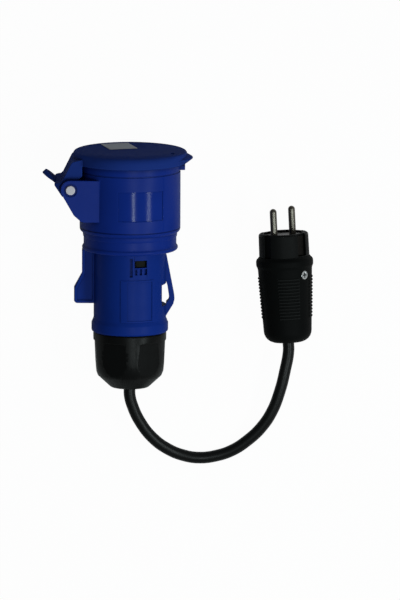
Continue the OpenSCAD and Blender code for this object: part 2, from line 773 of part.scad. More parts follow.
// Sleeve that takes a mating pin, with a screw terminal behind the carrier
module contact(angle, bore) {
    sleeve = bore / 2 + sleeve_wall;
    color("goldenrod") in_connector() at_contact(angle) difference() {
        union() {
            disc(sleeve, z_terminal, z_contact);
            disc(sleeve + terminal_extra, z_terminal, z_flange);
            disc(sleeve + shoulder_extra, z_flange - 2, z_flange);
        }
        disc(bore / 2, z_contact - bore_depth, z_contact + 1);
        disc(wire_hole_d / 2, z_terminal - 1, z_terminal + terminal_screw_z + screw_d);
        translate([0, 0, z_terminal + terminal_screw_z]) rotate([0, 90, 0])
            cylinder(h = far, d = screw_d + 2 * slip);
    }
}

module line_contact() { contact(line_angle, live_bore); }
module neutral_contact() { contact(neutral_angle, live_bore); }
module earth_contact() { contact(earth_angle, earth_bore); }

// Slotted grub screw along +X
module grub(d, x0, x1) {
    difference() {
        translate([x0, 0, 0]) rotate([0, 90, 0]) cylinder(h = x1 - x0, d = d);
        translate([x1 - 1, -far / 2, -0.4]) cube([2, far, 0.8]);
    }
}

module contact_screws() {
    color("silver") in_connector()
        for (c = [[earth_angle, earth_bore], [line_angle, live_bore], [neutral_angle, live_bore]])
            at_contact(c[0]) translate([0, 0, z_terminal + terminal_screw_z])
                grub(screw_d, wire_hole_d / 2, c[1] / 2 + sleeve_wall + terminal_extra + 1);
}

// Insulated wire that fans out from the cord's end to radius r1 at angle a, with a straight stub at each end
module core(a, r1, z0, z1) {
    r0 = core_d * 0.75;
    stub = core_d * 0.4;
    rise = z1 - z0 - 2 * stub;
    steps = 8;
    fan = [for (i = [0:steps]) polar(r0 + (r1 - r0) * ease(i / steps), a, z0 + stub + rise * i / steps)];
    tube(concat([polar(r0, a, z0)], fan, [polar(r1, a, z1)]), core_d, 8, polar(1, a + 90, 0));
}

// Core from the cord's end to the contact at this angle
module contact_core(angle) {
    in_connector() core(angle, contact_r, cord_in_nut, z_terminal);
}

module line_core() { color("saddlebrown") contact_core(line_angle); }
module neutral_core() { color("steelblue") contact_core(neutral_angle); }
module earth_core() { color("yellowgreen") contact_core(earth_angle); }

// Points on the two parts' own axes, in the frame of the surface
function on_connector(z) = [conn_x, conn_y + z * cos(rest_tilt), conn_z + z * sin(rest_tilt)];
function on_plug(z) =
    plug_at + z * [-sin(plug_yaw) * cos(plug_tilt), cos(plug_yaw) * cos(plug_tilt), sin(plug_tilt)];

module cord() {
    color("black") tube(concat(
        [on_connector(cord_in_nut), on_connector(0), on_connector(-6)], cord_route,
        [on_plug(-6), on_plug(0), on_plug(cord_in_plug)]
    ), cord_d, 12, [0, 0, 1]);
}

// Outer radius of the tapered body at height z
function body_r(z) =
    body_end_d / 2 + (body_d - body_end_d) / 2 * (z - end_round) / (z_shoulder - end_round);

// Comb of grip ribs on the taper
function rib_points(i) =
    let (z = rib_low + i * rib_pitch, w = rib_pitch * 0.3)
    [
        [body_r(z - w), z - w], [body_r(z) + rib_h, z - w * 0.5],
        [body_r(z) + rib_h, z + w * 0.5], [body_r(z + w), z + w]
    ];

module plug_body() {
    rib_top = rib_low + (rib_count - 1) * rib_pitch + 1;
    core_r = body_r(rib_low - 1) - 1;
    color("dimgray") in_plug() difference() {
        union() {
            rotate_extrude() polygon(concat(
                [[0, 0]],
                arc([body_end_d / 2 - end_round, end_round], end_round, -90, 0, 6),
                [[body_d / 2, z_shoulder]],
                arc([bead_d / 2 - 1.5, z_bead - 1.5], 1.5, -40, 0, 2),
                arc([bead_d / 2 - 2.5, z_bead + 1], 2.5, 0, 60, 3),
                [[nose_r + 0.4, body_len], [0, body_len]]
            ));
            for (a = [-130, -50, 50, 130])
                rotate(a - rib_span) rotate_extrude(angle = 2 * rib_span) polygon(concat(
                    [[core_r, rib_low - 1]],
                    [for (i = [0:rib_count - 1]) each rib_points(i)],
                    [[core_r, rib_top]]
                ));
        }
        disc(cord_d / 2 + gap, -1, body_len);
        disc(clamp_hole_r, end_round, body_len);
        disc(body_in, clamp_top, body_len + 1);
        translate([0, 0, screw_z]) rotate([90, 0, 0]) {
            cylinder(h = far, d = screw_head_d * 0.6);
            translate([0, 0, head_y]) cylinder(h = far, d = screw_head_d + 2 * gap);
        }
    }
}

module plug_insert() {
    color("darkslategray") in_plug() difference() {
        union() {
            disc(insert_r, z_insert, body_len);
            rotate_extrude() polygon([
                [0, body_len], [nose_r, body_len], [nose_r - 0.2, z_nose - 1], [nose_r - 1.2, z_nose],
                [0, z_nose]
            ]);
        }
        disc(nose_r - channel_depth - face_rim / 2, z_dish, z_nose + 1);
        for (s = [-1, 1]) {
            translate([s * (nose_r - notch_depth / 2 + 0.5), 0, body_len + nose_len / 2])
                cube([notch_depth + 1, notch_w, nose_len + 2], center = true);
            translate([s * pin_pitch / 2, 0, 0]) disc(pin_root_d / 2 + slip, z_insert - 1, z_nose);
            translate([0, s * (nose_r - channel_depth / 2 + 0.5), body_len + nose_len / 2 + 1])
                cube([channel_w, channel_depth + 1, nose_len], center = true);
        }
        translate([0, 0, strap_z]) cube([strap_w + 2 * slip, 2 * nose_r, strap_t + 2 * slip], center = true);
        translate([0, post_y, 0]) disc(pin_root_d / 2 + slip, z_insert - 1, strap_z);
        translate([0, 0, screw_z]) rotate([90, 0, 0]) cylinder(h = far, d = small_d + 2 * slip);
    }
}

// Round pin with a domed tip, a wider root up to the dished face and a terminal behind the insert
module plug_pin(side) {
    tip = z_dish + plug_pin_len - plug_pin_d / 2;
    color("silver") in_plug() translate([side * pin_pitch / 2, 0, 0]) difference() {
        union() {
            disc(pin_root_d / 2, z_tail, z_dish);
            disc(plug_pin_d / 2, z_insert, tip);
            translate([0, 0, tip]) sphere(d = plug_pin_d);
        }
        disc(wire_hole_d / 2, z_tail - 1, z_tail + pin_tail * 0.75);
        translate([0, 0, z_tail + tail_screw_z]) rotate([0, side * 90, 0])
            cylinder(h = far, d = small_d + 2 * slip);
    }
}

module plug_pin_line() { plug_pin(-1); }
module plug_pin_neutral() { plug_pin(1); }

module earth_strap() {
    leg_top = z_nose - 1;
    color("silver") in_plug() difference() {
        union() {
            translate([0, 0, strap_z]) cube([strap_w, 2 * strap_y, strap_t], center = true);
            for (s = [0, 1]) mirror([0, s, 0]) translate([-strap_w / 2, strap_y, strap_z - strap_t / 2])
                cube([strap_w, strap_t, leg_top - strap_z]);
            translate([0, post_y, 0]) disc(pin_root_d / 2, z_tail, strap_z);
        }
        translate([0, post_y, 0]) disc(wire_hole_d / 2, z_tail - 1, z_tail + pin_tail * 0.75);
        translate([0, post_y, z_tail + tail_screw_z]) rotate([-90, 0, 0])
            cylinder(h = far, d = small_d + 2 * slip);
    }
}

module plug_screw() {
    color("silver") in_plug() translate([0, 0, screw_z]) rotate([90, 0, 0]) difference() {
        union() {
            translate([0, 0, head_y]) cylinder(h = head_h, d = screw_head_d);
            translate([0, 0, insert_r - 7]) cylinder(h = head_y - insert_r + 8, d = small_d);
        }
        for (a = [0, 90]) rotate(a) translate([-screw_head_d * 0.3, -0.4, head_y + head_h / 2])
            cube([screw_head_d * 0.6, 0.8, head_h]);
    }
}

module plug_terminal_screws() {
    reach = pin_root_d / 2 + 1.4;
    color("silver") in_plug() {
        for (a = [0, 180])
            rotate(a) translate([pin_pitch / 2, 0, z_tail + tail_screw_z])
                grub(small_d, wire_hole_d / 2, reach);
        translate([0, post_y, z_tail + tail_screw_z]) rotate(90) grub(small_d, wire_hole_d / 2, reach);
    }
}

module plug_cord_clamp() {
    color("ivory") in_plug() difference() {
        tube_ring(clamp_hole_r - slip, cord_d / 2 + slip, end_round, clamp_top - 1);
        translate([-far / 2, -0.4, 0]) cube([far, 0.8, far]);
        for (s = [-1, 1]) translate([s * clamp_screw_x, 0, (end_round + clamp_top) / 2]) rotate([90, 0, 0])
            cylinder(h = far, d = clamp_screw_d + 2 * slip, center = true);
    }
}

module plug_clamp_screws() {
    color("silver") in_plug()
        for (s = [-1, 1]) translate([s * clamp_screw_x, 0, (end_round + clamp_top) / 2]) rotate([90, 0, 0])
            cylinder(h = clamp_hole_r + 1, d = clamp_screw_d, center = true);
}

module plug_line_core() { color("saddlebrown") in_plug() core(180, pin_pitch / 2, cord_in_plug, z_tail); }
module plug_neutral_core() { color("steelblue") in_plug() core(0, pin_pitch / 2, cord_in_plug, z_tail); }
module plug_earth_core() { color("yellowgreen") in_plug() core(90, post_y, cord_in_plug, z_tail); }

front_housing();
lid();
lid_gasket();
lid_label();
hinge_pin();
lid_spring();
handle();
lock_tab();
gland_nut();
gland_seal();
cord_claw();
housing_seal();
contact_carrier();
line_contact();
neutral_contact();
earth_contact();
contact_screws();
line_core();
neutral_core();
earth_core();
cord();
plug_body();
plug_insert();
plug_pin_line();
plug_pin_neutral();
earth_strap();
plug_screw();
plug_terminal_screws();
plug_cord_clamp();
plug_clamp_screws();
plug_line_core();
plug_neutral_core();
plug_earth_core();
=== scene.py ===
"""Looks of an adapter lead: round connector with a sprung lid, short cord and earthed two-pin plug.

Every length in a dataclass field is in millimetres unless its name says otherwise.
The frame, and so every mesh, is in metres.
"""

import json
import logging
import math
from dataclasses import dataclass, field
from enum import Enum
from typing import Any

import bmesh
import bpy
from mathutils import Matrix, Vector


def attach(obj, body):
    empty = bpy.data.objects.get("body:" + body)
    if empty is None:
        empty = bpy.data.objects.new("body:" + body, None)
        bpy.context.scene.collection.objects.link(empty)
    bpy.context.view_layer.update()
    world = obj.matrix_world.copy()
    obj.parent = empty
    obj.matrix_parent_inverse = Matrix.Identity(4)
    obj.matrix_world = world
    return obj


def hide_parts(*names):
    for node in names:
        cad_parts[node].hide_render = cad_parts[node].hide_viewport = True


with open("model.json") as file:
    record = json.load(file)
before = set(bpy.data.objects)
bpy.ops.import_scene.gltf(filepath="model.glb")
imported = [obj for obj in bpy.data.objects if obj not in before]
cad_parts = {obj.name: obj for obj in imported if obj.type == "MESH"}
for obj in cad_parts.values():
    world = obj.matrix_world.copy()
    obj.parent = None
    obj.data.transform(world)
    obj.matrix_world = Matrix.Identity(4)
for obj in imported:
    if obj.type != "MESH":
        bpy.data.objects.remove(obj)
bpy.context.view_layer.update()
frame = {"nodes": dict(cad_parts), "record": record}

Triple = tuple[float, float, float]
Colour = tuple[float, float, float, float]
Socket = bpy.types.NodeSocket
Tree = bpy.types.NodeTree

MM = 0.001
# Face attributes that the finishes read: rounded edges, painted lighter for wear and as painted
# highlight, and a patch with a surface of its own, polished on plastic and painted shade on metal
EDGE = "edge_wear_and_sheen"
PATCH = "own_patch"
# Vertices closer than this, in millimetres, are one
MERGE = 0.002
# How near a vertex has to lie, in millimetres, to be on a slice, a ring or an arc
ON_SLICE = 0.0001
ON_RING = 0.01
ON_ARC = 0.03
# Facets that turn by less than this are one flat face
FLAT_DEG = 0.8
# Colour of the painted shade in creases and joints
PAINTED_CREASE_SHADE = "#000000"
MATERIALS: dict[str, bpy.types.Material] = {}
log = logging.getLogger("adapter_lead")


class Body(Enum):
    """The bodies of the frame that pieces ride on."""

    CONNECTOR = "connector"
    LID = "lid"


def linear(code: str) -> Colour:
    """Turn an sRGB hex colour into linear light.

    Args:
        code: colour as #rrggbb.

    Returns:
        Red, green, blue and alpha.
    """
    channels = [int(code[i : i + 2], 16) / 255 for i in (1, 3, 5)]
    light = [c / 12.92 if c <= 0.04045 else ((c + 0.055) / 1.055) ** 2.4 for c in channels]
    return (light[0], light[1], light[2], 1.0)


def per_metre(size: float) -> float:
    """Scale of a pattern whose features are this size, for Object coordinates in metres.

    Args:
        size: size of the features, in millimetres.

    Returns:
        Features to the metre.
    """
    return 1.0 / (size * MM)


def add_node(
    tree: Tree, kind: str, inputs: dict[Any, Any] | None = None, **settings: Any
) -> bpy.types.Node:
    """Add a shader node with its settings, values and links.

    Args:
        tree: node tree of the material or world.
        kind: Blender's type name of the node.
        inputs: for each input, by name or place, a value or the socket that feeds it.
        settings: properties of the node.

    Returns:
        The new node.
    """
    node = tree.nodes.new(kind)
    for key, value in settings.items():
        setattr(node, key, value)
    for key, value in (inputs or {}).items():
        if isinstance(value, Socket):
            tree.links.new(value, node.inputs[key])
        else:
            node.inputs[key].default_value = value
    return node


def noise(tree: Tree, place: Socket, size: float, detail: float) -> Socket:
    """Add a soft noise.

    Args:
        tree: node tree of the material.
        place: coordinates, in metres.
        size: size of its features, in millimetres.
        detail: how many finer layers it has.

    Returns:
        Its value, from 0 to 1.
    """
    inputs = {"Vector": place, "Scale": per_metre(size), "Detail": detail}
    return add_node(tree, "ShaderNodeTexNoise", inputs).outputs["Fac"]


def blend(tree: Tree, share: Socket, first: Socket | Colour, second: Socket | Colour) -> Socket:
    """Mix two colours.

    Args:
        tree: node tree of the material.
        share: share of the second colour.
        first: colour or socket.
        second: colour or socket.

    Returns:
        The mixed colour.
    """
    inputs = {"Factor": share, "A": first, "B": second}
    return add_node(tree, "ShaderNodeMix", inputs, data_type="RGBA").outputs["Result"]


def spread(
    tree: Tree,
    value: Socket,
    low: Socket | float,
    high: float,
    span: tuple[float, float] = (0.0, 1.0),
) -> Socket:
    """Map a value onto a range.

    Args:
        tree: node tree of the material or world.
        value: the value.
        low: what the span's lower end gives.
        high: what the span's upper end gives.
        span: the value's own range.

    Returns:
        The mapped value.
    """
    inputs = {"Value": value, "From Min": span[0], "From Max": span[1], "To Min": low, "To Max": high}
    return add_node(tree, "ShaderNodeMapRange", inputs).outputs["Result"]


def multiply(tree: Tree, first: Socket, second: Socket | float) -> Socket:
    """Multiply two values.

    Args:
        tree: node tree of the material.
        first: one value.
        second: the other value.

    Returns:
        Their product.
    """
    return add_node(tree, "ShaderNodeMath", {0: first, 1: second}, operation="MULTIPLY").outputs[0]


def marked(tree: Tree, layer: str) -> Socket:
    """Read one of the mesh's face attributes.

    Args:
        tree: node tree of the material.
        layer: the attribute's name.

    Returns:
        1 where the mesh marks it, 0 elsewhere.
    """
    return add_node(tree, "ShaderNodeAttribute", attribute_name=layer).outputs["Fac"]


@dataclass(frozen=True)
class Finish:
    """What every finish shares: its name and the material that it makes once."""

    name: str

    def material(self) -> bpy.types.Material:
        """Make the material, or give the one that is there already.

        Returns:
            The material of this finish.
        """
        if self.name not in MATERIALS:
            made = bpy.data.materials.new(self.name)
            made.use_nodes = True
            made.node_tree.nodes.clear()
            shader = self.shade(made.node_tree)
            add_node(made.node_tree, "ShaderNodeOutputMaterial", {"Surface": shader.outputs[0]})
            MATERIALS[self.name] = made
        return MATERIALS[self.name]

    def shade(self, tree: Tree) -> bpy.types.Node:
        """Build the surface shader.

        Args:
            tree: empty node tree of the material.

        Returns:
            The shader node.
        """
        raise NotImplementedError


@dataclass(frozen=True)
class Moulded(Finish):
    """Moulded plastic or rubber: slow flow marks, a fine eroded grain, rounded edges painted lighter for
    wear and as painted highlight, and painted shade in creases and joints.
    """

    colour: str = "#808080"
    flow_colour: str = "#7c7c7c"
    edge_wear_and_sheen_colour: str = "#909090"
    roughness: float = 0.45
    roughness_swing: float = 0.06
    specular: float = 0.4
    flow: float = 26.0
    flow_detail: float = 3.0
    skins_per_flow: float = 5.0
    fine_detail: float = 2.0
    grain: float = 0.7
    grain_depth: float = 0.012
    grain_strength: float = 0.35
    edge_rub_and_sheen: float = 0.2
    polish: float = 0.35
    # Painted shade in creases and joints: how far ambient occlusion reaches, how dark it gets, and its
    # samples
    crease_shade_reach: float = 1.6
    crease_shade: float = 0.75
    crease_shade_samples: int = 12

    def shade(self, tree: Tree) -> bpy.types.Node:
        """Build the plastic from its tone, gloss and grain.

        Where the mesh marks a patch, the tool was polished: the gloss is higher and the grain is gone.

        Args:
            tree: empty node tree of the material.

        Returns:
            The shader node.
        """
        place = add_node(tree, "ShaderNodeTexCoord").outputs["Object"]
        patch = marked(tree, PATCH)
        return add_node(
            tree,
            "ShaderNodeBsdfPrincipled",
            {
                "Base Color": self.tone(tree, place),
                "Roughness": self.gloss(tree, place, patch),
                "Specular IOR Level": self.specular,
                "Normal": self.relief(tree, place, patch),
            },
        )

    def tone(self, tree: Tree, place: Socket) -> Socket:
        """Colour with flow marks, rounded edges painted lighter for wear and as painted highlight, and
        painted shade in the joints and creases.

        Args:
            tree: node tree of the material.
            place: coordinates.

        Returns:
            The colour.
        """
        streaks = noise(tree, place, self.flow, self.flow_detail)
        fresh = blend(tree, streaks, linear(self.colour), linear(self.flow_colour))
        # Rounded edges are painted lighter: partly wear, partly painted highlight
        rub_and_sheen = multiply(tree, marked(tree, EDGE), self.edge_rub_and_sheen)
        worn_and_sheened = blend(tree, rub_and_sheen, fresh, linear(self.edge_wear_and_sheen_colour))
        # Creases and joints are darkened by ambient occlusion: painted shade
        reach = {"Distance": self.crease_shade_reach * MM}
        near = add_node(tree, "ShaderNodeAmbientOcclusion", reach, samples=self.crease_shade_samples)
        unshaded = spread(tree, near.outputs["AO"], 1.0 - self.crease_shade, 1.0)
        return blend(tree, unshaded, linear(PAINTED_CREASE_SHADE), worn_and_sheened)

    def gloss(self, tree: Tree, place: Socket, patch: Socket) -> Socket:
        """Roughness of a patchy skin, lower on a polished patch.

        Args:
            tree: node tree of the material.
            place: coordinates.
            patch: where the mesh marks a patch.

        Returns:
            The roughness.
        """
        skin = noise(tree, place, self.flow / self.skins_per_flow, self.fine_detail)
        smooth, rough = self.roughness - self.roughness_swing, self.roughness + self.roughness_swing
        return multiply(tree, spread(tree, skin, smooth, rough), spread(tree, patch, 1.0, self.polish))

    def relief(self, tree: Tree, place: Socket, patch: Socket) -> Socket:
        """Fine grain that ends at a polished patch.

        Args:
            tree: node tree of the material.
            place: coordinates.
            patch: where the mesh marks a patch.

        Returns:
            The bent normal.
        """
        inputs = {
            "Height": noise(tree, place, self.grain, self.fine_detail),
            "Strength": spread(tree, patch, self.grain_strength, 0.0),
            "Distance": self.grain_depth * MM,
        }
        return add_node(tree, "ShaderNodeBump", inputs).outputs["Normal"]


@dataclass(frozen=True)
class Plated(Finish):
    """Plated or turned metal: fine tool marks across the axis and a slightly cloudy shine."""

    colour: str = "#b0b0b0"
    dull_colour: str = "#909090"
    # Painted shade for recesses that the mesh marks as a patch
    recess_shade_colour: str = "#101010"
    roughness: float = 0.3
    roughness_swing: float = 0.08
    cloud: float = 4.0
    cloud_detail: float = 4.0
    marks: float = 0.5
    marks_detail: float = 2.0
    marks_depth: float = 0.004
    marks_strength: float = 0.3
    marks_stretch: Triple = (0.15, 1.0, 0.15)

    def shade(self, tree: Tree) -> bpy.types.Node:
        """Build the metal: cloudy tone and gloss, fine marks as bump, painted shade where the mesh marks
        a patch.

        Args:
            tree: empty node tree of the material.

        Returns:
            The shader node.
        """
        place = add_node(tree, "ShaderNodeTexCoord").outputs["Object"]
        cloud = noise(tree, place, self.cloud, self.cloud_detail)
        unshaded = blend(tree, cloud, linear(self.colour), linear(self.dull_colour))
        smooth, rough = self.roughness - self.roughness_swing, self.roughness + self.roughness_swing
        across = add_node(tree, "ShaderNodeMapping", {"Vector": place, "Scale": self.marks_stretch})
        relief = {
            "Height": noise(tree, across.outputs[0], self.marks, self.marks_detail),
            "Strength": self.marks_strength,
            "Distance": self.marks_depth * MM,
        }
        return add_node(
            tree,
            "ShaderNodeBsdfPrincipled",
            {
                "Base Color": blend(tree, marked(tree, PATCH), unshaded, linear(self.recess_shade_colour)),
                "Metallic": 1.0,
                "Roughness": spread(tree, cloud, smooth, rough),
                "Normal": add_node(tree, "ShaderNodeBump", relief).outputs["Normal"],
            },
        )


@dataclass(frozen=True)
class Striped(Finish):
    """Wire insulation in two colours that wind round the core."""

    colour: str = "#2c7a2f"
    stripe_colour: str = "#d8c832"
    stripe: float = 3.0
    scale_divisor: float = 6.0
    stripe_edge: tuple[float, float] = (0.56, 0.62)
    roughness: float = 0.4

    def shade(self, tree: Tree) -> bpy.types.Node:
        """Build the insulation from one slanted wave with a sharp edge.

        Args:
            tree: empty node tree of the material.

        Returns:
            The shader node.
        """
        place = add_node(tree, "ShaderNodeTexCoord").outputs["Object"]
        scale = per_metre(self.stripe) / self.scale_divisor
        inputs = {"Vector": place, "Scale": scale, "Distortion": 0.0}
        wave = add_node(tree, "ShaderNodeTexWave", inputs, bands_direction="DIAGONAL")
        sharp = spread(tree, wave.outputs["Fac"], 0.0, 1.0, self.stripe_edge)
        tone = blend(tree, sharp, linear(self.colour), linear(self.stripe_colour))
        surface = {"Base Color": tone, "Roughness": self.roughness}
        return add_node(tree, "ShaderNodeBsdfPrincipled", surface)


# Polyamide, injection moulded in a spark-eroded tool: deep blue with a dull skin
BLUE_POLYAMIDE = Moulded(
    "blue_polyamide",
    colour="#0e2977",
    flow_colour="#0b2369",
    edge_wear_and_sheen_colour="#1e388a",
    roughness=0.42,
    specular=0.028,
    grain=0.8,
    crease_shade=0.45,
)
# The same polyamide from a better polished tool: the barrel shines more than the handle
BLUE_POLYAMIDE_SATIN = Moulded(
    "blue_polyamide_satin",
    colour="#0e287a",
    flow_colour="#0b226c",
    edge_wear_and_sheen_colour="#1e388e",
    roughness=0.4,
    specular=0.05,
    grain=0.8,
    grain_depth=0.008,
    # Deep painted shade in its joints and creases
    crease_shade_reach=4.0,
    crease_shade=0.95,
)
# The same polyamide with a coarser tool finish, so the lid's top scatters more; its colour is painted
# lighter than the barrel's, as painted light on the lid
BLUE_POLYAMIDE_MATT_PAINTED_LIGHT = Moulded(
    "blue_polyamide_matt_painted_light",
    colour="#172e74",
    flow_colour="#132867",
    edge_wear_and_sheen_colour="#233c8e",
    roughness=0.7,
    specular=0.035,
    grain=0.9,
    grain_depth=0.006,
    crease_shade_reach=3.0,
    crease_shade=0.9,
)
# Insulating moulding behind the lid: a flat greyer blue
BLUE_INSULATOR = Moulded(
    "blue_insulator",
    colour="#173a80",
    flow_colour="#14336f",
    edge_wear_and_sheen_colour="#2c55a0",
    roughness=0.5,
)
# Polyamide coloured black; its rounded edges are painted dark grey, partly wear and partly painted
# highlight
BLACK_POLYAMIDE = Moulded(
    "black_polyamide",
    colour="#0c0d0d",
    flow_colour="#090a0a",
    edge_wear_and_sheen_colour="#1d1e1f",
    roughness=0.36,
    specular=0.07,
    grain=0.9,
    grain_depth=0.014,
)
# The plug's hard insert: black thermoplastic with a dull skin, shiny only on the pins' face
BLACK_INSERT = Moulded(
    "black_insert_plastic",
    colour="#0d0e0e",
    flow_colour="#090a0a",
    edge_wear_and_sheen_colour="#1a1b1b",
    roughness=0.55,
    specular=0.05,
    polish=0.4,
)
# Filled natural rubber: nearly black, with a dry fine grain; its rib crests and edges are painted
# lighter, partly wear and partly painted highlight
BLACK_RUBBER = Moulded(
    "filled_black_rubber",
    colour="#0b0c0c",
    flow_colour="#080909",
    edge_wear_and_sheen_colour="#1b1c1c",
    roughness=0.55,
    specular=0.02,
    grain=0.6,
    grain_depth=0.02,
    edge_rub_and_sheen=0.9,
)
# Rubber sheath, extruded: smoother than the plug, so it carries a soft line of light
SHEATH_RUBBER = Moulded(
    "sheath_rubber",
    colour="#0d0e0e",
    flow_colour="#090a0a",
    edge_wear_and_sheen_colour="#0d0e0e",
    roughness=0.38,
    specular=0.12,
    grain=1.2,
    grain_depth=0.005,
    flow=9.0,
)
# Soft seal rubber: flat and dark
SEAL_RUBBER = Moulded(
    "seal_rubber",
    colour="#1b1b1c",
    flow_colour="#151516",
    edge_wear_and_sheen_colour="#2a2a2b",
    roughness=0.7,
    specular=0.2,
)
# Nylon in its own colour: milky and a little yellow
NATURAL_NYLON = Moulded(
    "natural_nylon",
    colour="#d8d2c0",
    flow_colour="#cfc8b4",
    edge_wear_and_sheen_colour="#e4dfd0",
    roughness=0.4,
)
# Plastic of the locking tab: dark olive, seen only through its window
OLIVE_PLASTIC = Moulded(
    "olive_plastic",
    colour="#0f110b",
    flow_colour="#0b0d08",
    edge_wear_and_sheen_colour="#1c1e14",
    roughness=0.55,
    specular=0.05,
)
# Polyester film of the label: grey with a soft sheen
LABEL_FILM = Moulded(
    "label_film",
    colour="#a0a4ad",
    flow_colour="#9498a1",
    edge_wear_and_sheen_colour="#acb0b7",
    roughness=0.5,
    specular=0.2,
    flow=8.0,
    grain=1.5,
)
# Acetal of the hinge pin: pale and a little cold
PALE_CAP = Moulded(
    "pale_acetal",
    colour="#b8b4bc",
    flow_colour="#aeaab2",
    edge_wear_and_sheen_colour="#cac6cc",
    roughness=0.4,
)
# Nickel-plated brass: warm grey, dull from use; its marks are coarser than real ones, so that they show
NICKEL = Plated(
    "nickel_plate",
    colour="#635f58",
    dull_colour="#4a4741",
    roughness=0.38,
    marks=2.0,
    marks_depth=0.0006,
)
# Tinned earth spring, painted almost black: painted shade for its place deep in its channel
SHADED_EARTH_SPRING = Plated("earth_spring_painted_shade", colour="#151412", dull_colour="#0e0d0c", roughness=0.5)
# Zinc-plated steel: cold and pale
ZINC_STEEL = Plated("zinc_plated_steel", colour="#b2b7b8", dull_colour="#828788", roughness=0.24)
# Drawn spring wire: plain grey
SPRING_STEEL = Plated("drawn_spring_steel", colour="#9a9c9e", dull_colour="#808284", roughness=0.35)
# Turned brass of the contacts: yellow and bright
BRASS = Plated("turned_brass", colour="#c8a24e", dull_colour="#b08c40", roughness=0.28)
# Core insulation in the three usual colours: brown, blue, and green with yellow stripes
BROWN_CORE = Moulded(
    "brown_core_pvc", colour="#5a2f1a", flow_colour="#502916", edge_wear_and_sheen_colour="#5a2f1a"
)
BLUE_CORE = Moulded("blue_core_pvc", colour="#2a5fb4", flow_colour="#2655a4", edge_wear_and_sheen_colour="#2a5fb4")
EARTH_CORE = Striped("green_yellow_core_pvc")


@dataclass(frozen=True)
class Upright:
    """A part's own frame: z runs along its axis from its lower end, x and y across it."""

    origin: Vector
    x_axis: Vector
    y_axis: Vector
    z_axis: Vector

    def point(self, x: float, y: float, z: float) -> Vector:
        """Place a point of the part.

        Args:
            x: distance across, in millimetres.
            y: distance across, in millimetres.
            z: distance along the axis, in millimetres.

        Returns:
            The point in the frame, in metres.
        """
        return self.origin + (self.x_axis * x + self.y_axis * y + self.z_axis * z) * MM

    def local(self, place: Vector) -> Vector:
        """Give a point of the frame in the part's own millimetres.

        Args:
            place: the point in the frame, in metres.

        Returns:
            Its distances across and along the part.
        """
        offset = place - self.origin
        axes = (self.x_axis, self.y_axis, self.z_axis)
        return Vector([offset.dot(axis) for axis in axes]) / MM


def mount(name: str) -> tuple[Vector, Vector]:
    """Find a mount of the record.

    Args:
        name: the mount's name.

    Returns:
        Its place and its axis.
    """
    found = next(row for row in frame["record"]["mounts"] if row["name"] == name)
    return Vector(found["pos_m"]), Vector(found["axis"]).normalized()


def connector_frame() -> Upright:
    """Frame of the connector, from its three sockets.

    Returns:
        The frame, with its origin at the gland nut's end face.
    """
    socket_height = 134.0
    sockets = ("line_socket", "neutral_socket", "earth_socket")
    places = [mount(socket)[0] for socket in sockets]
    z_axis = mount("earth_socket")[1]
    on_axis = sum(places, Vector()) / len(places)
    x_axis = (mount("earth_socket")[0] - on_axis).normalized()
    return Upright(on_axis - z_axis * socket_height * MM, x_axis, z_axis.cross(x_axis), z_axis)


def plug_frame() -> Upright:
    """Frame of the plug, from its two pins.

    Returns:
        The frame, with its origin at the plug's rounded end.
    """
    pin_height = 84.1
    first, second = mount("plug_pin_a")[0], mount("plug_pin_b")[0]
    z_axis = mount("plug_pin_a")[1]
    x_axis = (second - first).normalized()
    middle = (first + second) / 2
    return Upright(middle - z_axis * pin_height * MM, x_axis, z_axis.cross(x_axis), z_axis)


def dress(node: str, finish: Finish) -> None:
    """Give a CAD node that stays its finish.

    Args:
        node: the node's name.
        finish: its finish.
    """
    piece = frame["nodes"][node]
    piece.data.materials.clear()
    piece.data.materials.append(finish.material())
    log.info("%s: %s", node, finish.name)


@dataclass(frozen=True)
class Zone:
    """A box in a part's own frame."""

    part: Upright
    low: Triple
    high: Triple

    def holds(self, place: Vector) -> bool:
        """Say whether a point lies in the box.

        Args:
            place: the point in the frame, in metres.

        Returns:
            True inside the box.
        """
        spans = zip(self.low, self.part.local(place), self.high)
        return all(low <= at <= high for low, at, high in spans)


@dataclass(frozen=True)
class Groove:
    """A fine parting groove round a part's axis, cut where the surface lies between two radii."""

    part: Upright
    height: float
    least_radius: float
    most_radius: float
    half_width: float = 0.6
    depth: float = 0.9

    def cut(self, bm: bmesh.types.BMesh) -> None:
        """Slice the mesh beside the groove and press its middle ring inwards.

        Args:
            bm: the mesh, in the frame.
        """
        for side in (-1, 0, 1):
            bmesh.ops.bisect_plane(
                bm,
                geom=bm.verts[:] + bm.edges[:] + bm.faces[:],
                dist=ON_SLICE * MM,
                plane_co=self.part.point(0, 0, self.height + side * self.half_width),
                plane_no=self.part.z_axis,
            )
        for vert in bm.verts:
            x, y, z = self.part.local(vert.co)
            radius = math.hypot(x, y)
            if abs(z - self.height) < ON_RING and self.least_radius < radius < self.most_radius:
                inner = 1.0 - self.depth / radius
                vert.co = self.part.point(x * inner, y * inner, z)


